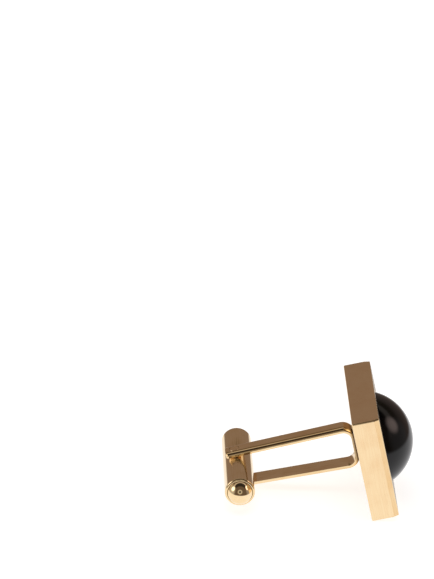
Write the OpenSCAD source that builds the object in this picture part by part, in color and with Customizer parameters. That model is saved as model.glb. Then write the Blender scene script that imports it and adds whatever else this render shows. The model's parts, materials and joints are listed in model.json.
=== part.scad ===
// Cufflink: a rectangular face box with a domed stone, and a swivel bar held between the arms of a stirrup.
// The pieces are drawn upright with the back of the box at y = 0, the face towards -Y and the arms along +Y.
// The finished cufflink then leans back as it stands on a table, on the box's lower edge and the lower arm's end.
// All lengths are in millimetres.

/* [Face box] */
// Width of the front panel on each side of the hole
side_margin = 2.85; // [1.2:0.05:6]
// Height of the front panel above the hole
top_margin = 1.05; // [0.8:0.05:4]
// Height of the front panel below the hole
bottom_margin = 1.45; // [0.9:0.05:4]
// Depth of the box, from its back to its brushed front
box_t = 3.9; // [3:0.05:6]
// Thickness of the box's side walls
wall_t = 0.6; // [0.45:0.05:0.7]
// Thickness of the front panel
front_t = 0.8; // [0.4:0.05:1.4]
// Width of the ledge inside the walls that the back plate rests on
ledge_w = 0.3; // [0.15:0.05:0.35]
// How far the bevels along the left and right of the front come in
bevel_in = 0.3; // [0.1:0.05:0.5]
// How far the same bevels run back down the sides
bevel_back = 0.8; // [0.2:0.1:1.4]
// Width of the broken edges along the top and bottom of the front
edge_break = 0.06; // [0.03:0.01:0.1]
// Radius of the rounded edges round the back
back_edge_r = 0.3; // [0.15:0.05:0.5]
// Radius of the four corners seen from the front
corner_r = 0.25; // [0.1:0.05:0.5]
// Width of the broken edge round the hole
hole_break = 0.1; // [0.05:0.01:0.2]

/* [Back plate] */
// Thickness of the back plate
back_t = 0.8; // [0.4:0.05:1.2]
// Gap between the back plate and the walls round it, filled by solder
back_fit = 0.02; // [0.01:0.01:0.05]

/* [Stone] */
// Diameter of the stone
stone_d = 12.9; // [12:0.1:16]
// Height of the dome above the front panel
dome_h = 4.1; // [2.5:0.05:6]
// Gap between the stone and the edge of the hole
stone_gap = 0.2; // [0.1:0.05:0.35]
// Thickness of the cement under the stone
cement_t = 0.15; // [0.05:0.05:0.4]
// How far the cement stays in from the stone's edge
cement_margin = 0.4; // [0.1:0.1:1.5]

/* [Stirrup] */
// Width of the flat strip that the stirrup is bent from
strip_w = 2.8; // [2.2:0.1:3.4]
// Thickness of the strip
strip_t = 0.7; // [0.4:0.05:0.9]
// Outer radius of the two bends
bend_r = 1.9; // [1.2:0.05:2.3]
// Gap between the arms next to the bends
base_gap = 5.3; // [5:0.05:6.5]
// Gap between the arms at the pin
tip_gap = 4.45; // [4.4:0.05:5]
// Distance from the back of the box to the pin's axis
post_l = 17.5; // [15:0.1:22]
// How far the arms run on past the pin's axis
arm_over = 1.3; // [1.2:0.1:2.4]
// Radius of the corners at the ends of the arms
arm_corner_r = 0.45; // [0.1:0.05:0.8]

/* [Pivot pin] */
// Diameter of the pin where the bar turns on it
pin_d = 2.1; // [1.8:0.05:2.4]
// Width across the pin's squared middle
pin_flats = 1.5; // [1.2:0.05:1.7]
// Length of the squared middle
pin_square_l = 2.5; // [2:0.1:2.7]
// Diameter of the pin's ends in the arms
pin_end_d = 1.4; // [1.1:0.05:1.6]
// Gap round the pin in the bar's holes
pin_fit = 0.04; // [0.02:0.01:0.08]
// Gap round the pin's ends in the arms
pin_end_fit = 0.01; // [0.01:0.01:0.03]
// Gap between the pin's shoulders and the arms
shoulder_gap = 0.02; // [0.01:0.01:0.05]

/* [Swivel bar] */
// Diameter of the bar
bar_d = 4.3; // [4.1:0.05:4.35]
// Length of the bar between its two rims
bar_l = 16.1; // [14:0.1:20]
// Radius of the rolled rims at the bar's ends
rim_r = 0.3; // [0.15:0.05:0.35]
// Diameter of the balls in the bar's ends
ball_d = 3.6; // [3.4:0.05:3.65]
// How far each ball stands out of its rim
ball_out = 1.5; // [0.9:0.05:1.55]
// Gap between each ball and the tube round it
ball_fit = 0.02; // [0.01:0.01:0.04]

/* [Detent spring] */
// Gap between the leaf's ends and the balls
spring_ball_gap = 0.2; // [0.05:0.05:1]
// Width of the leaf spring
spring_w = 1.6; // [1:0.1:2]
// Thickness of the leaf spring
spring_t = 0.2; // [0.1:0.02:0.3]
// Gap between the leaf's middle and the flat of the pin
spring_gap = 0.02; // [0.01:0.01:0.05]
// Gap between the leaf's ends and the tube
spring_end_gap = 0.02; // [0.01:0.01:0.05]

/* [Hidden] */
$fn = 96;

// Every cut runs past the faces that it opens by this much
overrun = 0.5;
// Steps round each bend of the stirrup
bend_steps = 16;

gold = "#d8b27c";
polished_gold = "#e3c08c";
brushed_gold = "#b39263";
onyx = "#101012";
steel = "#9a9a9c";
cement_colour = "#c9c4b4";

// Box: the hole that the stone stands in, the box round it, and the space behind the front panel
hole_d = stone_d + 2 * stone_gap;
hole_rise = (bottom_margin - top_margin) / 2;
box_w = hole_d + 2 * side_margin;
box_h = hole_d + top_margin + bottom_margin;
cavity_w = box_w - 2 * (wall_t + ledge_w);
cavity_h = box_h - 2 * (wall_t + ledge_w);
cavity_front = box_t - front_t;
rebate_w = box_w - 2 * wall_t;
rebate_h = box_h - 2 * wall_t;

// Stone: the sphere that its dome is part of
stone_r = stone_d / 2;
dome_r = (stone_r * stone_r + dome_h * dome_h) / (2 * dome_h);
dome_y = dome_r - dome_h - box_t;
stone_base = back_t + cement_t;

// Stirrup: the arms draw together from the bends to the pin
bend_in = bend_r - strip_t;
taper = atan((base_gap - tip_gap) / 2 / (post_l - bend_r));
bend_z = base_gap / 2 - bend_in / cos(taper);
arm_start_y = bend_r + bend_in * sin(taper);
arm_start_z = bend_z + bend_in * cos(taper);
arm_l = (post_l + arm_over - arm_start_y) / cos(taper);
// The outer corner of an arm's end
arm_end_y = post_l + arm_over + strip_t * sin(taper);
arm_end_z = arm_start_z - arm_l * sin(taper) + strip_t * cos(taper);

// Pin: the height of its shoulders and of its flush ends above the bar's axis
shoulder_z = tip_gap / 2 - pin_d / 2 * tan(taper) - shoulder_gap;
pin_end_z = tip_gap / 2 + strip_t / cos(taper);

// Bar: the balls' place, and the bore that they and the spring lie in
bar_r = bar_d / 2;
ball_r = ball_d / 2;
ball_x = bar_l / 2 + ball_out - ball_r;
bore_r = ball_r + ball_fit;

// Spring: its convex side faces the pin, and its ends bear on the bore
spring_mid_y = pin_flats / 2 + spring_gap + spring_t;
spring_end_y = sqrt(bore_r * bore_r - spring_w * spring_w / 4) - spring_end_gap;
spring_sag = spring_end_y - spring_mid_y;
spring_reach = sqrt(ball_r * ball_r - (spring_end_y - spring_t) * (spring_end_y - spring_t));
spring_l = 2 * (ball_x - spring_reach - spring_ball_gap);
spring_arc_r = (spring_l * spring_l / 4 + spring_sag * spring_sag) / (2 * spring_sag);

// Stance: the angle at which the box's rounded lower edge and the lower arm's end both touch the table
stance_run = arm_end_y + back_edge_r;
stance_rise = box_h / 2 - back_edge_r - arm_end_z;
lean = atan(stance_rise / stance_run)
    + asin(back_edge_r / sqrt(stance_run * stance_run + stance_rise * stance_rise));
lift = (box_h / 2 - back_edge_r) * cos(lean) - back_edge_r * sin(lean) + back_edge_r;
// The foremost point of the dome and the rearmost point of the upper arm, once leaning
front_y = dome_y * cos(lean) + hole_rise * sin(lean) - dome_r;
rear_y = arm_end_y * cos(lean) + arm_end_z * sin(lean);

// Stands the upright pieces on the table, centred over the origin
module stand() {
    translate([0, -(front_y + rear_y) / 2, lift])
        rotate([-lean, 0, 0])
            children();
}

// Lays a solid drawn along +Z down along the bar, which runs along X
module along_bar() {
    rotate([0, 90, 0])
        children();
}

// Turns a flat outline drawn in x and z to face along Y, reaching forward from the plane y = back by depth
module facing_front(back, depth) {
    translate([0, back, 0])
        rotate([90, 0, 0])
            linear_extrude(depth)
                children();
}

// A section across the box, whose back lies on the line y = 0: its front edges are cut off by so much
// inwards and backwards, and its back edges are rounded
module box_section(width, cut_in, cut_back) {
    half = width / 2;
    polygon([
        [-half, -back_edge_r],
        [-half, cut_back - box_t],
        [cut_in - half, -box_t],
        [half - cut_in, -box_t],
        [half, cut_back - box_t],
        [half, -back_edge_r]
    ]);
    translate([back_edge_r - half, -box_t / 2])
        square([width - 2 * back_edge_r, box_t / 2]);
    for (side = [-1, 1])
        translate([side * (half - back_edge_r), -back_edge_r])
            circle(back_edge_r);
}

// A rectangle with round corners, centred on the origin
module rounded_rectangle(width, height, radius) {
    square([width - 2 * radius, height], center = true);
    square([width, height - 2 * radius], center = true);
    for (x = [-1, 1], y = [-1, 1])
        translate([x * (width / 2 - radius), y * (height / 2 - radius)])
            circle(radius);
}

// The box as one block: both of its sections and its outline in common
module box_outside() {
    intersection() {
        translate([0, 0, -box_h / 2 - overrun])
            linear_extrude(box_h + 2 * overrun)
                box_section(box_w, bevel_in, bevel_back);
        translate([-box_w / 2 - overrun, 0, 0])
            rotate([0, 90, 0])
                linear_extrude(box_w + 2 * overrun)
                    box_section(box_h, edge_break, edge_break);
        facing_front(overrun, box_t + 2 * overrun)
            rounded_rectangle(box_w, box_h, corner_r);
    }
}

// Struck brass box: a brushed front with a round hole, polished walls, open at the back
module face_shell() {
    color(brushed_gold)
        stand()
            difference() {
                box_outside();
                facing_front(overrun, back_t + overrun)
                    square([rebate_w, rebate_h], center = true);
                facing_front(0, cavity_front)
                    square([cavity_w, cavity_h], center = true);
                translate([0, 0, hole_rise])
                    rotate([90, 0, 0])
                        cylinder(d = hole_d, h = box_t + overrun);
                translate([0, hole_break - box_t, hole_rise])
                    rotate([90, 0, 0])
                        cylinder(d1 = hole_d, d2 = hole_d + 4 * hole_break, h = 2 * hole_break);
            }
}

// Plate let into the back of the box, flush with its rim, resting on the ledge
module back_plate() {
    color(polished_gold)
        stand()
            facing_front(0, back_t)
                square([rebate_w - 2 * back_fit, rebate_h - 2 * back_fit], center = true);
}

// Cement between the stone's flat base and the back plate
module stone_cement() {
    color(cement_colour)
        stand()
            translate([0, -back_t, hole_rise])
                rotate([90, 0, 0])
                    cylinder(d = stone_d - 2 * cement_margin, h = cement_t);
}

// Black stone: a polished dome on a straight girdle
module onyx_dome() {
    color(onyx)
        stand()
            intersection() {
                translate([0, dome_y, hole_rise])
                    rotate([90, 0, 0])
                        sphere(dome_r);
                translate([0, -stone_base, hole_rise])
                    rotate([90, 0, 0])
                        cylinder(d = stone_d, h = box_t + dome_h);
            }
}

// Points in y and z along the upper bend, at a radius from its centre, from the base to the arm
function bend_arc(radius) = [
    for (i = [0:bend_steps])
        let (angle = 180 - i / bend_steps * (90 + taper))
            [bend_r + radius * cos(angle), bend_z + radius * sin(angle)]
];

// The upper half of the U: out along the bend and the arm, and back along their inner side
function upper_half() = concat(
    bend_arc(bend_r),
    [[arm_end_y, arm_end_z]],
    [[arm_end_y - strip_t * sin(taper), arm_end_z - strip_t * cos(taper)]],
    [for (i = [bend_steps:-1:0]) bend_arc(bend_in)[i]]
);

// Flat strip bent to a U: its base is soldered to the back plate, and the pin is riveted in its arms
module stirrup() {
    half = upper_half();
    other_half = [for (i = [len(half) - 1:-1:0]) [half[i][0], -half[i][1]]];
    color(gold)
        stand()
            difference() {
                intersection() {
                    translate([-strip_w / 2, 0, 0])
                        rotate([90, 0, 90])
                            linear_extrude(strip_w)
                                polygon(concat(half, other_half));
                    translate([0, 0, -base_gap])
                        linear_extrude(2 * base_gap)
                            arm_plan();
                }
                translate([0, post_l, -pin_end_z - overrun])
                    cylinder(d = pin_end_d + 2 * pin_end_fit, h = 2 * (pin_end_z + overrun));
            }
}

// The strip seen from above: square at its base, with rounded corners at the arms' ends
module arm_plan() {
    plan_l = arm_end_y + arm_corner_r;
    translate([0, arm_end_y - plan_l / 2])
        rounded_rectangle(strip_w, plan_l, arm_corner_r);
}

// Riveted spindle: round where the bar turns, squared in the middle for the spring, thinner ends in the arms
module pivot_pin() {
    color(gold)
        stand()
            translate([0, post_l, 0]) {
                intersection() {
                    translate([0, 0, -shoulder_z])
                        cylinder(d = pin_d, h = 2 * shoulder_z);
                    union() {
                        cube([pin_flats, pin_flats, 2 * shoulder_z], center = true);
                        for (side = [0, 1])
                            mirror([0, 0, side])
                                translate([0, 0, pin_square_l / 2])
                                    cylinder(d = 2 * pin_d, h = shoulder_z);
                    }
                }
                for (side = [0, 1])
                    mirror([0, 0, side])
                        translate([0, 0, pin_square_l / 2])
                            cylinder(d = pin_end_d, h = pin_end_z - pin_square_l / 2);
            }
}

// The tube's outline, turned about the bar's axis: a plain cylinder with rolled rims
module bar_outline() {
    translate([0, -bar_l / 2])
        square([bar_r - rim_r, bar_l]);
    translate([0, rim_r - bar_l / 2])
        square([bar_r, bar_l - 2 * rim_r]);
    for (side = [-1, 1])
        translate([bar_r - rim_r, side * (bar_l / 2 - rim_r)])
            circle(rim_r);
}

// Drawn tube across the arms, its rims rolled in over the balls, with a hole through for the pin
module bar_tube() {
    color(polished_gold)
        stand()
            translate([0, post_l, 0])
                difference() {
                    along_bar()
                        rotate_extrude()
                            bar_outline();
                    along_bar()
                        translate([0, 0, -ball_x])
                            cylinder(r = bore_r, h = 2 * ball_x);
                    for (side = [-1, 1])
                        translate([side * ball_x, 0, 0])
                            along_bar()
                                sphere(bore_r);
                    translate([0, 0, -bar_r - overrun])
                        cylinder(d = pin_d + 2 * pin_fit, h = bar_d + 2 * overrun);
                }
}

// Ball held in the rolled rim at one end of the bar
module end_ball(side) {
    color(polished_gold)
        stand()
            translate([side * ball_x, post_l, 0])
                along_bar()
                    sphere(ball_r);
}

module end_ball_left() {
    end_ball(-1);
}

module end_ball_right() {
    end_ball(1);
}

// Leaf spring in the tube, bowed so that its middle bears on a flat of the pin
module detent_spring() {
    color(steel)
        stand()
            translate([0, post_l, -spring_w / 2])
                linear_extrude(spring_w)
                    intersection() {
                        translate([0, spring_mid_y + spring_arc_r])
                            difference() {
                                circle(spring_arc_r + spring_t);
                                circle(spring_arc_r);
                            }
                        translate([-spring_l / 2, 0])
                            square([spring_l, bore_r]);
                    }
}

face_shell();
back_plate();
stone_cement();
onyx_dome();
stirrup();
pivot_pin();
bar_tube();
end_ball_left();
end_ball_right();
detent_spring();
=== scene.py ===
import json
import math

import bpy
from mathutils import Matrix, Vector


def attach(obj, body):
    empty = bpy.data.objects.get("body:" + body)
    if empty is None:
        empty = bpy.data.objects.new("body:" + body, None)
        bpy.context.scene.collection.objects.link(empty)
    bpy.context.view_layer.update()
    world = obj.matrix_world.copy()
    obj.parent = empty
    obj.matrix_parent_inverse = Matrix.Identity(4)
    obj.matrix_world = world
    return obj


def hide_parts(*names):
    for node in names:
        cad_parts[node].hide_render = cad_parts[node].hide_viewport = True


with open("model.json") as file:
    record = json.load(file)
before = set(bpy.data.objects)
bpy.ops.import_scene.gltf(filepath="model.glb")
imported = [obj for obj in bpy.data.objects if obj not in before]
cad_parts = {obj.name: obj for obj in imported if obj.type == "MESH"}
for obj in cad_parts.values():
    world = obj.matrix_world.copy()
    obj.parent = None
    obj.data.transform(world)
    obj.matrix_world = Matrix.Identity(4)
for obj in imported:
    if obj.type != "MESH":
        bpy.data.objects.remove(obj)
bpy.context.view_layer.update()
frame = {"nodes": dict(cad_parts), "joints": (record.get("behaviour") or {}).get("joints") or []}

mm = 0.001

# The stance. The cufflink stands on the lower edge of its face box and the end of its lower arm,
# so everything leans back by the angle of the pin that the bar swivels on. The pieces are made
# upright, with the middle of the box's back at the origin, and are then stood in place.
post_l = 17.5 * mm
pin_axis = Vector(frame["joints"][0]["axis"])
pin_place = Vector(frame["joints"][0]["pos_m"])
lean = math.atan2(pin_axis.y, pin_axis.z)
upright_to_stance = Matrix.Rotation(-lean, 4, "X")
upright_to_stance.translation = pin_place - upright_to_stance @ Vector((0, post_l, 0))


# The camera. It looks at the cufflink edge-on, from a little behind its left side and from above,
# through a long lens, rolled slightly, with the cufflink in the right half of the picture.
camera_azimuth = math.radians(-92.98)
camera_elevation = math.radians(24.8)
camera_roll = math.radians(3.3)
camera_distance = 486.1 * mm
turned_about = Vector((0, 0, 8 * mm))
aim_right = -14.69 * mm
aim_up = 21.38 * mm
focal_length = 210.9

backwards = Vector((
    math.sin(camera_azimuth) * math.cos(camera_elevation),
    -math.cos(camera_azimuth) * math.cos(camera_elevation),
    math.sin(camera_elevation),
))
level_right = (-backwards).cross(Vector((0, 0, 1))).normalized()
level_up = level_right.cross(-backwards)
camera_right = math.cos(camera_roll) * level_right + math.sin(camera_roll) * level_up
camera_up = math.cos(camera_roll) * level_up - math.sin(camera_roll) * level_right

bpy.ops.object.camera_add()
camera = bpy.context.object
camera_turn = Matrix((camera_right, camera_up, backwards)).transposed()
camera.matrix_world = camera_turn.to_4x4()
camera.location = (turned_about + backwards * camera_distance
                   + camera_right * aim_right + camera_up * aim_up)
camera.data.lens = focal_length
camera.data.clip_start = 10 * mm
camera.data.clip_end = 100
bpy.context.scene.camera = camera


# The floor: smooth white card that runs on to the horizon. It keeps a soft shadow under the
# cufflink, and the rest of it shows as plain white. Polished metal mirrors the card that is
# drawn in the surroundings below, and not this one.
floor_size = 40
floor_white = "#D0D0D0"
floor_glow = 0.74


def linear(hex_colour):
    """An sRGB hex colour as linear red, green, blue and alpha."""
    parts = [int(hex_colour[i:i + 2], 16) / 255 for i in (1, 3, 5)]
    return [c / 12.92 if c <= 0.04045 else ((c + 0.055) / 1.055) ** 2.4 for c in parts] + [1]


def add(tree, kind, settings=(), links=()):
    """Adds a node to a tree, with its settings and the sockets that feed it."""
    node = tree.nodes.new("ShaderNode" + kind)
    for name, value in dict(settings).items():
        if isinstance(name, int) or name in node.inputs:
            node.inputs[name].default_value = value
        else:
            setattr(node, name, value)
    for name, source in dict(links).items():
        tree.links.new(source, node.inputs[name])
    return node


def new_material(name):
    """An empty material with its output node."""
    material = bpy.data.materials.new(name)
    material.use_nodes = True
    tree = material.node_tree
    tree.nodes.clear()
    return material, tree, add(tree, "OutputMaterial")


def seen_directly(tree):
    """1 where the camera looks straight at something or through glass at it, and 0 elsewhere."""
    ray = add(tree, "LightPath")
    return add(tree, "Math", {"operation": "MAXIMUM"}, {
        0: ray.outputs["Is Camera Ray"], 1: ray.outputs["Is Transmission Ray"],
    }).outputs[0]


bpy.ops.mesh.primitive_plane_add(size=floor_size)
floor = bpy.context.object
floor.name = "floor"
floor.visible_glossy = False

material, tree, output = new_material("White card")
card = add(tree, "BsdfDiffuse", {"Color": linear(floor_white)})
strength = add(tree, "Math", {"operation": "MULTIPLY", 1: floor_glow}, {0: seen_directly(tree)})
glow = add(tree, "Emission", {"Color": (1, 1, 1, 1)}, {"Strength": strength.outputs[0]})
both = add(tree, "AddShader", (), {0: card.outputs[0], 1: glow.outputs[0]})
tree.links.new(both.outputs[0], output.inputs["Surface"])
floor.data.materials.append(material)


# The light, as in a light tent: white card below, dim warm walls, a dark hood above in a pale band,
# a tall soft box on each side, and a pale opening with the dark camera in it. A wide soft lamp
# overhead lights the floor and the matt parts, and the polished ones don't mirror it.
wall_brown = (0.25, 0.19, 0.16)
card_white = (1.03, 1.02, 1.03)
card_edge_low, card_edge_high = -0.24, -0.12
hood = Vector((-0.45, 0, 0.89))
camera_side = Vector((-1, 0, 0.25))
bar_side = Vector((0, 1, 0.15))
face_side = Vector((0, -1, 0.15))
box_left = Vector((-0.08, 0.90, 0.42))
box_right = Vector((0.03, -0.84, 0.54))
# Each patch: its direction, at how many degrees from there it has faded out and is full, and its
# colour. Each one covers those before it.
patches = (
    (hood, 88, 75, (0.13, 0.10, 0.065)),
    (hood, 68, 62, (0.55, 0.48, 0.42)),
    (hood, 55, 49, (0.03, 0.025, 0.02)),
    (camera_side, 70, 56, (0.13, 0.10, 0.075)),
    (backwards, 24, 18, (0.5, 0.47, 0.41)),
    (backwards, 11, 7, (0.02, 0.025, 0.02)),
    (bar_side, 46, 20, (0.5, 0.48, 0.45)),
    (face_side, 36, 15, (0.3, 0.28, 0.27)),
    (box_left, 22, 8, (2.0, 1.95, 1.9)),
    (box_right, 19, 0, (2.7, 2.1, 1.9)),
)
overhead_strength = 1.0
overhead_angle = math.radians(55)

world = bpy.data.worlds.new("Studio")
bpy.context.scene.world = world
world.use_nodes = True
tree = world.node_tree
tree.nodes.clear()
output = add(tree, "OutputWorld")
direction = add(tree, "TexCoord").outputs["Generated"]
around = add(tree, "CombineXYZ", dict(zip("XYZ", wall_brown))).outputs[0]
for towards, faded, full, colour in patches:
    facing = add(tree, "VectorMath", {"operation": "DOT_PRODUCT", 1: towards.normalized()},
                 {0: direction}).outputs["Value"]
    cover = add(tree, "MapRange", {
        "interpolation_type": "SMOOTHSTEP",
        "From Min": math.cos(math.radians(faded)), "From Max": math.cos(math.radians(full)),
    }, {"Value": facing}).outputs[0]
    around = add(tree, "Mix", {"data_type": "VECTOR", 5: colour}, {0: cover, 4: around}).outputs[1]
height = add(tree, "SeparateXYZ", (), {0: direction}).outputs["Z"]
below = add(tree, "MapRange", {
    "interpolation_type": "SMOOTHSTEP",
    "From Min": card_edge_low, "From Max": card_edge_high, "To Min": 1.0, "To Max": 0.0,
}, {"Value": height}).outputs[0]
around = add(tree, "Mix", {"data_type": "VECTOR", 5: card_white}, {0: below, 4: around}).outputs[1]
shown = add(tree, "Mix", {"data_type": "VECTOR", 5: (1, 1, 1)},
            {0: seen_directly(tree), 4: around}).outputs[1]
surroundings = add(tree, "Background", {"Strength": 1.0}, {"Color": shown})
tree.links.new(surroundings.outputs[0], output.inputs["Surface"])

bpy.ops.object.light_add(type="SUN", location=(0, 0, 1))
overhead = bpy.context.object
overhead.data.energy = overhead_strength
overhead.data.angle = overhead_angle
overhead.visible_glossy = False

bpy.context.scene.view_settings.view_transform = "Standard"


# The face box: struck in brass as a shallow tray with a round hole in its front, bevelled along the
# left and right, then gold plated. Its front was rubbed on a wheel afterwards, which left long fine
# strokes, and its sides are polished. The punch tore the brass at the lower left of the hole.
box_w = 19.0 * mm
box_h = 15.8 * mm
box_t = 3.9 * mm
bevel_in = 0.3 * mm
bevel_back = 0.8 * mm
corner_r = 0.23 * mm
back_edge_r = 0.22 * mm
wall_t = 0.6 * mm
ledge_w = 0.3 * mm
front_t = 0.8 * mm
back_t = 0.8 * mm
hole_d = 13.3 * mm
hole_rise = 0.2 * mm
hole_steps = 160
worn_edge = 0.1 * mm
worn_from_angle = 18
torn_left_of = -1.5 * mm
torn_low, torn_high = -6 * mm, -1.2 * mm
torn_deep = 0.4 * mm
burr = 0.07 * mm
burr_seed = 7
# How far a cutter stands proud, and how close counts as one point, as in line and as at a place.
overrun = 0.5 * mm
same_point = 0.001 * mm
fine = 0.0001 * mm
near = 0.01 * mm


def open_mesh(piece, kind="FACE"):
    """Opens a piece in edit mode with nothing selected."""
    if bpy.context.mode != "OBJECT":
        bpy.ops.object.mode_set(mode="OBJECT")
    bpy.ops.object.select_all(action="DESELECT")
    piece.select_set(True)
    bpy.context.view_layer.objects.active = piece
    bpy.ops.object.mode_set(mode="EDIT")
    bpy.ops.mesh.select_mode(type=kind)
    bpy.ops.mesh.select_all(action="DESELECT")


def pick_faces(piece, wanted):
    """Opens a piece with the faces selected whose centre and normal are wanted."""
    open_mesh(piece)
    bpy.ops.object.mode_set(mode="OBJECT")
    for face in piece.data.polygons:
        face.select = wanted(face.center, face.normal)
    bpy.ops.object.mode_set(mode="EDIT")


def pick_edges(piece, wanted):
    """Opens a piece with the edges selected whose two ends are wanted."""
    open_mesh(piece, "EDGE")
    bpy.ops.object.mode_set(mode="OBJECT")
    points = piece.data.vertices
    for edge in piece.data.edges:
        edge.select = wanted(points[edge.vertices[0]].co, points[edge.vertices[1]].co)
    bpy.ops.object.mode_set(mode="EDIT")


def close_mesh():
    """Merges what lies together, turns the faces outwards and leaves edit mode."""
    bpy.ops.mesh.select_all(action="SELECT")
    bpy.ops.mesh.remove_doubles(threshold=same_point)
    bpy.ops.mesh.normals_make_consistent(inside=False)
    bpy.ops.object.mode_set(mode="OBJECT")


def settle(name):
    """Names the piece that was just added, and moves its size and place into its mesh."""
    piece = bpy.context.object
    piece.name = name
    bpy.ops.object.transform_apply(location=True, rotation=True, scale=True)
    return piece


def new_block(name, size, centre):
    """A block of that width, depth and height round that point."""
    bpy.ops.object.select_all(action="DESELECT")
    bpy.ops.mesh.primitive_cube_add(size=1, location=centre)
    bpy.context.object.scale = size
    return settle(name)


def new_rod(name, radius, length, centre, turn=(0, 0, 0), steps=96):
    """A rod of that radius and length round that point, along Z unless it is turned."""
    bpy.ops.object.select_all(action="DESELECT")
    bpy.ops.mesh.primitive_cylinder_add(vertices=steps, radius=radius, depth=length,
                                        location=centre, rotation=turn)
    return settle(name)


def cut_flat(piece, through, outwards):
    """Cuts off what lies past a plane through that point, and closes the piece there."""
    open_mesh(piece)
    bpy.ops.mesh.select_all(action="SELECT")
    bpy.ops.mesh.bisect(plane_co=through, plane_no=outwards, use_fill=True, clear_outer=True,
                        threshold=fine)
    close_mesh()


def cut_away(piece, cutter):
    """Cuts the cutter's shape out of a piece and takes the cutter away."""
    cut = piece.modifiers.new("cut", "BOOLEAN")
    cut.operation = "DIFFERENCE"
    cut.solver = "EXACT"
    cut.object = cutter
    bpy.ops.object.select_all(action="DESELECT")
    bpy.context.view_layer.objects.active = piece
    bpy.ops.object.modifier_apply(modifier="cut")
    bpy.data.objects.remove(cutter)


def soften(piece, width, segments=3, from_angle=40):
    """Rounds the edges that turn by more than that many degrees, as plating and handling leave
    them, and shades the piece so that its round parts are smooth and its flat ones stay flat."""
    edge = piece.modifiers.new("soft edges", "BEVEL")
    edge.width = width
    edge.segments = segments
    edge.limit_method = "ANGLE"
    edge.angle_limit = math.radians(from_angle)
    bpy.ops.object.select_all(action="DESELECT")
    piece.select_set(True)
    bpy.context.view_layer.objects.active = piece
    bpy.ops.object.modifier_apply(modifier="soft edges")
    bpy.ops.object.shade_smooth_by_angle(angle=math.radians(30))
    flats = piece.modifiers.new("flats stay flat", "WEIGHTED_NORMAL")
    flats.keep_sharp = True
    bpy.ops.object.modifier_apply(modifier="flats stay flat")


def stand(piece):
    """Stands an upright piece in the cufflink's own stance, with its place in its mesh."""
    piece.data.transform(upright_to_stance)
    piece.data.update()


def on_corner(a, b):
    """Whether an edge is one of the box's four corners, which run from front to back."""
    at_side = abs(a.x + b.x) > 2 * (box_w / 2 - bevel_in) - fine
    return at_side and abs(a.z + b.z) > box_h - fine


def on_torn_edge(point):
    """Whether a point lies where the hole's front edge is torn."""
    from_middle = math.hypot(point.x, point.z - hole_rise)
    low_left = point.x < torn_left_of and torn_low < point.z < torn_high
    at_edge = abs(from_middle - hole_d / 2) < 2 * near
    return low_left and at_edge and point.y < torn_deep - box_t


face_box = new_block("face_box", (box_w, box_t, box_h), (0, -box_t / 2, 0))
for side in (-1, 1):
    front_edge = (side * (box_w / 2 - bevel_in), -box_t, 0)
    cut_flat(face_box, front_edge, (side * bevel_back, -bevel_in, 0))
pick_edges(face_box, on_corner)
bpy.ops.mesh.bevel(offset=corner_r, segments=8, affect="EDGES")
close_mesh()
pick_edges(face_box, lambda a, b: min(a.y, b.y) > -back_edge_r)
bpy.ops.mesh.bevel(offset=back_edge_r, segments=6, affect="EDGES")
close_mesh()

rebate_w = box_w - 2 * wall_t
rebate_h = box_h - 2 * wall_t
rebate = new_block("rebate", (rebate_w, back_t + overrun, rebate_h),
                   (0, (overrun - back_t) / 2, 0))
cut_away(face_box, rebate)
cavity_in = wall_t + ledge_w
cavity = new_block("cavity", (box_w - 2 * cavity_in, box_t - front_t + overrun,
                              box_h - 2 * cavity_in), (0, (overrun - box_t + front_t) / 2, 0))
cut_away(face_box, cavity)
hole = new_rod("hole", hole_d / 2, 2 * box_t, (0, -box_t, hole_rise), (math.pi / 2, 0, 0),
               hole_steps)
cut_away(face_box, hole)
soften(face_box, worn_edge, from_angle=worn_from_angle)

pick_edges(face_box, lambda a, b: on_torn_edge(a) and on_torn_edge(b))
bpy.ops.transform.vertex_random(offset=burr, seed=burr_seed)
bpy.ops.object.mode_set(mode="OBJECT")
stand(face_box)

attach(face_box, "face_and_stirrup")
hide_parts("face_shell")

# Gold plate, polished: a thin layer of yellow gold over polished brass, buffed on a soft wheel.
# To the eye it is a mirror, slightly milky in clouds where the plate is thin, with faint hairlines
# from the buffing. Real hairlines are under 0.02 mm wide, and these are drawn coarser, so that
# they show. A piece can also have its colour darken to brown towards the back of the box.
cloud = 2.2 * mm
hairline = 0.09 * mm
hairline_l = 3 * mm
hairline_depth = 0.004 * mm
joint_brown = "#3E2712"


def upright(tree):
    """Coordinates that follow the upright cufflink, in metres from the middle of the box's back."""
    back_to_upright = upright_to_stance.inverted()
    place = add(tree, "TexCoord").outputs["Object"]
    return add(tree, "Mapping", {
        "Location": back_to_upright.translation, "Rotation": back_to_upright.to_euler(),
    }, {"Vector": place}).outputs[0]


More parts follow.
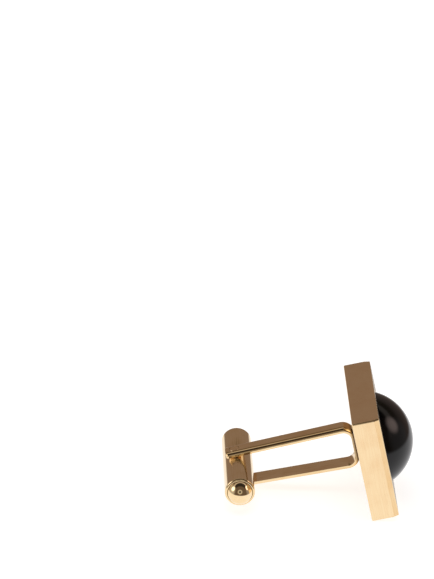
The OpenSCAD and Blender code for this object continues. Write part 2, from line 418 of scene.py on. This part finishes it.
def polished_gold_plate(name, bright="#FADFB2", thin="#EFCE98", across=(1, 1, 0), roughness=0.06,
                        brown_to=0):
    """Polished gold plate, with hairlines that run across the axes marked 1 and along the one
    marked 0, and with its colour darkened to brown at the back of the box, fading out that far
    behind it."""
    material, tree, output = new_material(name)
    place = upright(tree)
    clouds = add(tree, "TexNoise", {"Scale": 1 / cloud, "Detail": 3.0},
                 {"Vector": place}).outputs[0]
    stretch = [1 / hairline if is_across else 1 / hairline_l for is_across in across]
    drawn_out = add(tree, "VectorMath", {"operation": "MULTIPLY", 1: stretch}, {0: place})
    lines = add(tree, "TexNoise", {"Scale": 1.0, "Detail": 2.0},
                {"Vector": drawn_out.outputs[0]}).outputs[0]
    milk = add(tree, "MapRange", {"From Min": 0.4, "From Max": 0.7, "To Max": 0.35},
               {"Value": clouds})
    scuffs = add(tree, "MapRange", {"From Min": 0.35, "From Max": 0.65, "To Max": 0.4},
                 {"Value": lines})
    worn = add(tree, "Math", {"operation": "ADD"}, {0: milk.outputs[0], 1: scuffs.outputs[0]})
    colour = add(tree, "Mix", {"data_type": "RGBA", 6: linear(bright), 7: linear(thin)},
                 {0: worn.outputs[0]}).outputs[2]
    if brown_to:
        # Towards the back of the box the colour turns darker brown, fully so within 40 % of that
        # distance.
        from_back = add(tree, "SeparateXYZ", (), {0: place}).outputs["Y"]
        browning = add(tree, "MapRange", {
            "From Min": brown_to * 0.4, "From Max": brown_to, "To Min": 1.0, "To Max": 0.0,
        }, {"Value": from_back})
        colour = add(tree, "Mix", {"data_type": "RGBA", 7: linear(joint_brown)},
                     {0: browning.outputs[0], 6: colour}).outputs[2]
    haze = add(tree, "MapRange", {
        "From Min": 0.3, "From Max": 0.7, "To Min": roughness * 0.7, "To Max": roughness * 1.6,
    }, {"Value": clouds})
    bump = add(tree, "Bump", {"Strength": 0.12, "Distance": hairline_depth}, {"Height": lines})
    metal = add(tree, "BsdfPrincipled", {"Metallic": 1.0}, {
        "Base Color": colour, "Roughness": haze.outputs[0], "Normal": bump.outputs[0],
    })
    tree.links.new(metal.outputs[0], output.inputs["Surface"])
    return material


face_box.data.materials.append(polished_gold_plate("Gold plate, polished sides", thin="#F1CC9C"))

# Gold plate, wheel brushed: the same plate, cut through by an abrasive wheel. To the eye it is a
# dull brown gold with long pale and dark strokes that curve about a point far to the right, darker
# where the wheel missed the upper corners. Real strokes of such a wheel are about 0.03 mm wide,
# and these are drawn coarser, so that they show.
wheel_middle = Vector((35.8 * mm, 0, 16.3 * mm))
stroke = 0.08 * mm
stroke_l = 5 * mm
stroke_depth = 0.012 * mm
wide_stroke = 0.5 * mm
wide_stroke_l = 10 * mm
missed_out, missed_fully_out = 5.5 * mm, 8.5 * mm
missed_up, missed_fully_up = 5.8 * mm, 7.4 * mm
cut_dark, cut_pale = "#6D6045", "#C0AF8C"
missed_brown = "#3C3222"

material, tree, output = new_material("Gold plate, wheel brushed")
place = upright(tree)
flat_on = add(tree, "VectorMath", {"operation": "MULTIPLY", 1: (1, 0, 1)}, {0: place})
arm = add(tree, "VectorMath", {"operation": "SUBTRACT", 1: wheel_middle},
          {0: flat_on.outputs[0]}).outputs[0]
reach = add(tree, "VectorMath", {"operation": "LENGTH"}, {0: arm}).outputs["Value"]
sweep = add(tree, "SeparateXYZ", (), {0: arm})
turned_by = add(tree, "Math", {"operation": "ARCTAN2"},
                {0: sweep.outputs["Z"], 1: sweep.outputs["X"]})
swing = add(tree, "Math", {"operation": "ABSOLUTE"}, {0: turned_by.outputs[0]}).outputs[0]


def strokes(width, length, detail):
    """Strokes of that width and length along arcs about the wheel's middle."""
    out = add(tree, "Math", {"operation": "DIVIDE", 1: width}, {0: reach})
    round_by = add(tree, "Math", {"operation": "MULTIPLY", 1: wheel_middle.length / length},
                   {0: swing})
    arc = add(tree, "CombineXYZ", (), {0: out.outputs[0], 1: round_by.outputs[0]})
    return add(tree, "TexNoise", {"Scale": 1.0, "Detail": detail, "Roughness": 0.6},
               {"Vector": arc.outputs[0]}).outputs[0]


fine_strokes = strokes(stroke, stroke_l, 3.0)
wide_strokes = strokes(wide_stroke, wide_stroke_l, 1.0)
fine_share = add(tree, "MapRange", {"From Min": 0.4, "From Max": 0.6, "To Max": 0.72},
                 {"Value": fine_strokes})
wide_share = add(tree, "MapRange", {"From Min": 0.4, "From Max": 0.6, "To Max": 0.28},
                 {"Value": wide_strokes})
pale = add(tree, "Math", {"operation": "ADD"}, {0: fine_share.outputs[0], 1: wide_share.outputs[0]})
cut_colour = add(tree, "Mix", {"data_type": "RGBA", 6: linear(cut_dark), 7: linear(cut_pale)},
                 {0: pale.outputs[0]})
sides = add(tree, "SeparateXYZ", (), {0: place})
from_middle = add(tree, "Math", {"operation": "ABSOLUTE"}, {0: sides.outputs["X"]})
far_out = add(tree, "MapRange", {"From Min": missed_out, "From Max": missed_fully_out},
              {"Value": from_middle.outputs[0]})
far_up = add(tree, "MapRange", {"From Min": missed_up, "From Max": missed_fully_up},
             {"Value": sides.outputs["Z"]})
in_corner = add(tree, "Math", {"operation": "MULTIPLY"},
                {0: far_out.outputs[0], 1: far_up.outputs[0]})
ragged = add(tree, "MapRange", {"From Min": 0.3, "From Max": 0.5}, {"Value": wide_strokes})
missed = add(tree, "Math", {"operation": "MULTIPLY"},
             {0: in_corner.outputs[0], 1: ragged.outputs[0]})
front_colour = add(tree, "Mix", {"data_type": "RGBA", 7: linear(missed_brown)},
                   {0: missed.outputs[0], 6: cut_colour.outputs[2]})
cut_haze = add(tree, "MapRange", {"From Min": 0.3, "From Max": 0.7, "To Min": 0.28, "To Max": 0.42},
               {"Value": fine_strokes})
bump = add(tree, "Bump", {"Strength": 0.5, "Distance": stroke_depth}, {"Height": fine_strokes})
metal = add(tree, "BsdfPrincipled", {"Metallic": 1.0}, {
    "Base Color": front_colour.outputs[2], "Roughness": cut_haze.outputs[0],
    "Normal": bump.outputs[0],
})
tree.links.new(metal.outputs[0], output.inputs["Surface"])
face_box.data.materials.append(material)

# Gold plate on the bevels: polished like the sides. Its colour is painted a shade deeper and more
# orange than the sides', as painted shade for the darker reflection that the bevels catch.
face_box.data.materials.append(
    polished_gold_plate("Gold plate, bevels in painted shade", bright="#F4D6A6", thin="#E8BB80"))

front_way = upright_to_stance.to_3x3() @ Vector((0, -1, 0))


def on_front(centre, normal):
    """Whether a face lies in the brushed front."""
    return normal.dot(front_way) > 0.99


def on_bevel(centre, normal):
    """Whether a face lies in one of the bevels, which face mostly sideways."""
    return 0.3 < normal.dot(front_way) < 0.4 and abs(normal.x) > 0.9


for slot, wanted in ((1, on_front), (2, on_bevel)):
    pick_faces(face_box, wanted)
    face_box.active_material_index = slot
    bpy.ops.object.material_slot_assign()
    bpy.ops.object.mode_set(mode="OBJECT")


# The stone: black onyx, cut as a round dome on a straight girdle and polished like a mirror.
# It stands in the hole of the front on its flat base, bedded in cement, a little off the middle.
stone_d = 12.9 * mm
dome_h = 4.1 * mm
stone_base = 0.95 * mm
girdle_edge = 0.12 * mm
stone_off_x = 0.1 * mm
stone_off_z = -0.03 * mm
dome_r = (stone_d ** 2 / 4 + dome_h ** 2) / (2 * dome_h)


def new_ball(name, radius, centre, turn, steps, rings):
    """A ball of that radius round that point, its poles along Z unless it is turned."""
    bpy.ops.object.select_all(action="DESELECT")
    bpy.ops.mesh.primitive_uv_sphere_add(segments=steps, ring_count=rings, radius=radius,
                                         location=centre, rotation=turn)
    return settle(name)


dome_middle = (stone_off_x, dome_r - dome_h - box_t, hole_rise + stone_off_z)
stone = new_ball("onyx_cabochon", dome_r, dome_middle, (math.pi / 2, 0, 0), 160, 96)
cut_flat(stone, (0, -box_t, 0), (0, 1, 0))
pick_faces(stone, lambda centre, normal: normal.y > 0.99 and centre.y > -box_t - near)
bpy.ops.mesh.extrude_region_move(TRANSFORM_OT_translate={"value": (0, box_t - stone_base, 0)})
close_mesh()
soften(stone, girdle_edge, 4)
stand(stone)

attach(stone, "face_and_stirrup")
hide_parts("onyx_dome")

# Black onyx, polished: dyed chalcedony, opaque and nearly black. To the eye it is black glass, with
# barely seen brown clouds inside it. Handling has left a little haze in its polish, and it mirrors
# less than a fresh one.
onyx_cloud = 3 * mm
onyx_black, onyx_brown = "#040405", "#0B0808"

material, tree, output = new_material("Black onyx, polished")
clouds = add(tree, "TexNoise", {"Scale": 1 / onyx_cloud, "Detail": 4.0},
             {"Vector": upright(tree)}).outputs[0]
brown = add(tree, "MapRange", {"From Min": 0.4, "From Max": 0.65}, {"Value": clouds})
stone_colour = add(tree, "Mix", {"data_type": "RGBA", 6: linear(onyx_black), 7: linear(onyx_brown)},
                   {0: brown.outputs[0]})
haze = add(tree, "MapRange", {"From Min": 0.3, "From Max": 0.7, "To Min": 0.09, "To Max": 0.13},
           {"Value": clouds})
onyx = add(tree, "BsdfPrincipled", {"IOR": 1.54, "Specular IOR Level": 0.3},
           {"Base Color": stone_colour.outputs[2], "Roughness": haze.outputs[0]})
tree.links.new(onyx.outputs[0], output.inputs["Surface"])
stone.data.materials.append(material)


# The cement under the stone: grey stone-setting cement, set hard. It hides behind the stone.
# To the eye it is matt and grainy, like plaster.
cement_grain = 0.15 * mm
grain_depth = 0.02 * mm
cement_dark, cement_pale = "#B9B4A6", "#D6D1C2"

material, tree, output = new_material("Setting cement")
grain = add(tree, "TexNoise", {"Scale": 1 / cement_grain, "Detail": 3.0},
            {"Vector": upright(tree)}).outputs[0]
pale = add(tree, "MapRange", {"From Min": 0.35, "From Max": 0.65}, {"Value": grain})
cement_colour = add(tree, "Mix", {
    "data_type": "RGBA", 6: linear(cement_dark), 7: linear(cement_pale),
}, {0: pale.outputs[0]})
bump = add(tree, "Bump", {"Strength": 0.4, "Distance": grain_depth}, {"Height": grain})
cement = add(tree, "BsdfPrincipled", {"Roughness": 0.9, "IOR": 1.5},
             {"Base Color": cement_colour.outputs[2], "Normal": bump.outputs[0]})
tree.links.new(cement.outputs[0], output.inputs["Surface"])
frame["nodes"]["stone_cement"].material_slots[0].material = material


# The back plate: a flat brass plate let into the back of the box and soldered there, flush with its
# rim. It is gold plated with the box and polished, a little duller than the sides.
back_fit = 0.02 * mm
back_edge = 0.06 * mm

back = new_block("back_plate_let_in", (rebate_w - 2 * back_fit, back_t, rebate_h - 2 * back_fit),
                 (0, -back_t / 2, 0))
soften(back, back_edge)
stand(back)
back.data.materials.append(polished_gold_plate("Gold plate, polished back", roughness=0.09))

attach(back, "face_and_stirrup")
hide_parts("back_plate")


# The stirrup: a brass strip, flat inside and rounded off outside, bent to a U, gold plated and
# polished lengthways. Its base is soldered to the back plate, its colour darkens to brown towards
# that joint, and the pin is riveted through the ends of its arms.
strip_w = 2.8 * mm
strip_t = 0.7 * mm
strip_round_in = 0.9 * mm
strip_round_deep = 0.42 * mm
strip_edge = 0.05 * mm
bend_r = 1.9 * mm
base_gap = 5.3 * mm
tip_gap = 4.45 * mm
arm_over = 1.3 * mm
arm_corner_r = 0.45 * mm
arm_corner_steps = 5
pin_end_d = 1.4 * mm
pin_end_fit = 0.035 * mm
joint_dark = 0.8 * mm
rubbed_gold = "#E4BC82"

flatten = strip_round_deep / strip_round_in
bend_in = bend_r - strip_t
taper = math.atan((base_gap - tip_gap) / 2 / (post_l - bend_r))
bend_z = base_gap / 2 - bend_in / math.cos(taper)
arm_start_y = bend_r + bend_in * math.sin(taper)
arm_l = (post_l + arm_over - arm_start_y) / math.cos(taper)
along_arm = Vector((0, math.cos(taper), -math.sin(taper)))

# The strip's cross-section comes first: its two outer corners are rounded, and it is pressed flat,
# so that the rounding reaches further in than deep. It is then drawn out through half of the base,
# round the bend and along the arm, and narrows at the rounded tip. The other half mirrors it.
bpy.ops.object.select_all(action="DESELECT")
bpy.ops.mesh.primitive_plane_add(size=1, location=(0, strip_t / flatten / 2, 0))
bpy.context.object.scale = (strip_w, strip_t / flatten, 1)
stirrup = settle("bent_stirrup")
open_mesh(stirrup, "VERT")
bpy.ops.object.mode_set(mode="OBJECT")
for corner in stirrup.data.vertices:
    corner.select = corner.co.y < fine
bpy.ops.object.mode_set(mode="EDIT")
bpy.ops.mesh.bevel(offset=strip_round_in, segments=12, affect="VERTICES")
bpy.ops.mesh.select_mode(type="FACE")
bpy.ops.mesh.select_all(action="SELECT")
bpy.ops.transform.resize(value=(1, flatten, 1), center_override=(0, 0, 0))
bpy.ops.mesh.extrude_region_move(TRANSFORM_OT_translate={"value": (0, 0, bend_z)})
bpy.ops.mesh.spin(steps=32, angle=math.pi / 2 + taper, center=(0, bend_r, bend_z), axis=(1, 0, 0))
bpy.ops.mesh.extrude_region_move(
    TRANSFORM_OT_translate={"value": along_arm * (arm_l - arm_corner_r)})
width_now, gone = strip_w, 0
for step in range(1, arm_corner_steps + 1):
    round_off = step / arm_corner_steps * math.pi / 2
    forward = arm_corner_r * math.sin(round_off)
    width = strip_w - 2 * arm_corner_r * (1 - math.cos(round_off))
    bpy.ops.mesh.extrude_region_move(TRANSFORM_OT_translate={"value": along_arm * (forward - gone)})
    bpy.ops.transform.resize(value=(width / width_now, 1, 1), center_override=(0, 0, 0))
    width_now, gone = width, forward
close_mesh()
pick_faces(stirrup, lambda centre, normal: abs(normal.z) > 0.99 and abs(centre.z) < fine)
bpy.ops.mesh.delete(type="FACE")
bpy.ops.object.mode_set(mode="OBJECT")
other_half = stirrup.modifiers.new("other half", "MIRROR")
other_half.use_axis = (False, False, True)
other_half.merge_threshold = fine
bpy.ops.object.modifier_apply(modifier="other half")
open_mesh(stirrup)
close_mesh()
pin_hole = new_rod("pin_hole", pin_end_d / 2 + pin_end_fit, 2 * base_gap, (0, post_l, 0))
cut_away(stirrup, pin_hole)
soften(stirrup, strip_edge, 2, 50)
stand(stirrup)
stirrup.data.materials.append(polished_gold_plate(
    "Gold plate, polished lengthways", thin=rubbed_gold, across=(1, 0, 1), brown_to=joint_dark))

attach(stirrup, "face_and_stirrup")
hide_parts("stirrup")


# The pivot pin: turned brass rod, thinner at both ends, which pass through the arms and were
# hammered over flush. Between the arms it is thicker, and the bar swivels on it there. Its middle
# is filed square for the spring. It is gold plated and polished with the stirrup.
pin_d = 2.1 * mm
pin_flats = 1.5 * mm
pin_square_l = 2.5 * mm
pin_edge = 0.03 * mm
shoulder_gap = 0.02 * mm
head_edge = 0.03 * mm
head_narrowed = 0.97
head_dish = 0.015 * mm
head_dish_in = 0.28 * mm
arm_outside = tip_gap / 2 + strip_t / math.cos(taper)
shoulder_z = tip_gap / 2 - pin_d / 2 * math.tan(taper) - shoulder_gap
pin_middle = Vector((0, post_l, 0))


def on_pin_end(centre, normal, side):
    """Whether a face is the round end of the pin on that side."""
    return normal.z * side > 0.99 and math.hypot(centre.x, centre.y - post_l) < fine


pin = new_rod("pivot_pin_riveted", pin_d / 2, 2 * shoulder_z, pin_middle, steps=64)
pick_faces(pin, lambda centre, normal: abs(normal.z) > 0.99)
bpy.ops.mesh.inset(thickness=(pin_d - pin_end_d) / 2)
bpy.ops.object.mode_set(mode="OBJECT")
for side in (-1, 1):
    neck = side * (arm_outside - shoulder_z - head_edge)
    pick_faces(pin, lambda centre, normal: on_pin_end(centre, normal, side))
    bpy.ops.mesh.extrude_region_move(TRANSFORM_OT_translate={"value": (0, 0, neck)})
    bpy.ops.mesh.extrude_region_move(TRANSFORM_OT_translate={"value": (0, 0, side * head_edge)})
    bpy.ops.transform.resize(value=(head_narrowed, head_narrowed, 1), center_override=pin_middle)
    bpy.ops.mesh.inset(thickness=head_dish_in)
    bpy.ops.transform.translate(value=(0, 0, -side * head_dish))
open_mesh(pin)
close_mesh()
for way in (Vector((1, 0, 0)), Vector((-1, 0, 0)), Vector((0, 1, 0)), Vector((0, -1, 0))):
    filed_size = (pin_d * (1 if way.x else 2), pin_d * (2 if way.x else 1), pin_square_l)
    filed_off = new_block("filed_off", filed_size, pin_middle + way * (pin_flats + pin_d) / 2)
    cut_away(pin, filed_off)
open_mesh(pin)
bpy.ops.mesh.select_all(action="SELECT")
bpy.ops.mesh.quads_convert_to_tris(ngon_method="CLIP")
bpy.ops.object.mode_set(mode="OBJECT")
soften(pin, pin_edge, 2)
stand(pin)
pin.data.materials.append(
    polished_gold_plate("Gold plate, polished pin", thin=rubbed_gold, across=(1, 0, 1)))

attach(pin, "face_and_stirrup")
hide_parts("pivot_pin")


# The swivel bar: drawn brass tube with a hole through its middle for the pin. Its ends are rolled
# in over a ball at each end, which leaves a bright round rim, and it is gold plated and polished.
bar_d = 4.3 * mm
bar_l = 16.1 * mm
rim_r = 0.3 * mm
ball_d = 3.6 * mm
ball_fit = 0.02 * mm
pin_fit = 0.04 * mm
tube_edge = 0.05 * mm
mouth_r = ball_d / 2 + ball_fit


def on_bar_axis(centre, normal):
    """Whether a face is one of the round ones that close the bar's ends."""
    return abs(normal.x) > 0.99 and math.hypot(centre.y - post_l, centre.z) < fine


def on_rim(point):
    """Whether a point lies on the outer circle at one of the tube's ends."""
    off_axis = math.hypot(point.y - post_l, point.z)
    return abs(off_axis - bar_d / 2) < near and abs(abs(point.x) - bar_l / 2) < near


tube = new_rod("bar_tube_rolled", bar_d / 2, bar_l, pin_middle, (0, math.pi / 2, 0), 128)
pick_faces(tube, lambda centre, normal: abs(normal.x) > 0.99)
bpy.ops.mesh.inset(thickness=bar_d / 2 - mouth_r)
bpy.ops.object.mode_set(mode="OBJECT")
pick_faces(tube, on_bar_axis)
bpy.ops.mesh.bridge_edge_loops()
close_mesh()
pick_edges(tube, lambda a, b: a.x * b.x > 0 and on_rim(a) and on_rim(b))
bpy.ops.mesh.bevel(offset=rim_r, segments=8, affect="EDGES")
close_mesh()
cross_hole = new_rod("cross_hole", pin_d / 2 + pin_fit, 2 * bar_d, pin_middle)
cut_away(tube, cross_hole)
soften(tube, tube_edge, 3, 50)
stand(tube)
tube.data.materials.append(polished_gold_plate("Gold plate, polished tube", across=(0, 1, 1)))

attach(tube, "swivel_bar")
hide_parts("bar_tube")


# The end balls: polished brass, cut flat inside the tube, where they sit in its mouths.
# They are gold plated with the bar, and the buff reaches all of them, so they mirror the most.
ball_out = 1.5 * mm
ball_flat = 1.2 * mm
ball_edge = 0.05 * mm
ball_x = bar_l / 2 + ball_out - ball_d / 2
ball_gold = polished_gold_plate("Gold plate, polished balls", bright="#FFE6BC", thin="#F6D7A2",
                                across=(1, 1, 1), roughness=0.04)

for side, name in ((-1, "left"), (1, "right")):
    ball = new_ball("end_ball_polished_" + name, ball_d / 2, (side * ball_x, post_l, 0),
                    (0, side * math.pi / 2, 0), 96, 64)
    cut_flat(ball, (side * (ball_x - ball_flat), 0, 0), (-side, 0, 0))
    soften(ball, ball_edge)
    stand(ball)
    ball.data.materials.append(ball_gold)

    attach(ball, "swivel_bar")
    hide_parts("end_ball_" + name)


# The detent spring: a leaf of tempered steel strip inside the tube, out of sight. It presses on the
# pin. To the eye it is grey steel with fine lines along it from rolling.
rolled_line = 0.05 * mm
rolled_line_l = 4 * mm
steel_dark, steel_pale = "#8C8C8E", "#B4B4B6"

material, tree, output = new_material("Spring steel, rolled")
stretch = (1 / rolled_line_l, 1 / rolled_line, 1 / rolled_line)
drawn_out = add(tree, "VectorMath", {"operation": "MULTIPLY", 1: stretch}, {0: upright(tree)})
lines = add(tree, "TexNoise", {"Scale": 1.0, "Detail": 2.0},
            {"Vector": drawn_out.outputs[0]}).outputs[0]
pale = add(tree, "MapRange", {"From Min": 0.35, "From Max": 0.65}, {"Value": lines})
steel_colour = add(tree, "Mix", {"data_type": "RGBA", 6: linear(steel_dark), 7: linear(steel_pale)},
                   {0: pale.outputs[0]})
haze = add(tree, "MapRange", {"From Min": 0.3, "From Max": 0.7, "To Min": 0.25, "To Max": 0.4},
           {"Value": lines})
steel = add(tree, "BsdfPrincipled", {"Metallic": 1.0},
            {"Base Color": steel_colour.outputs[2], "Roughness": haze.outputs[0]})
tree.links.new(steel.outputs[0], output.inputs["Surface"])
frame["nodes"]["detent_spring"].material_slots[0].material = material
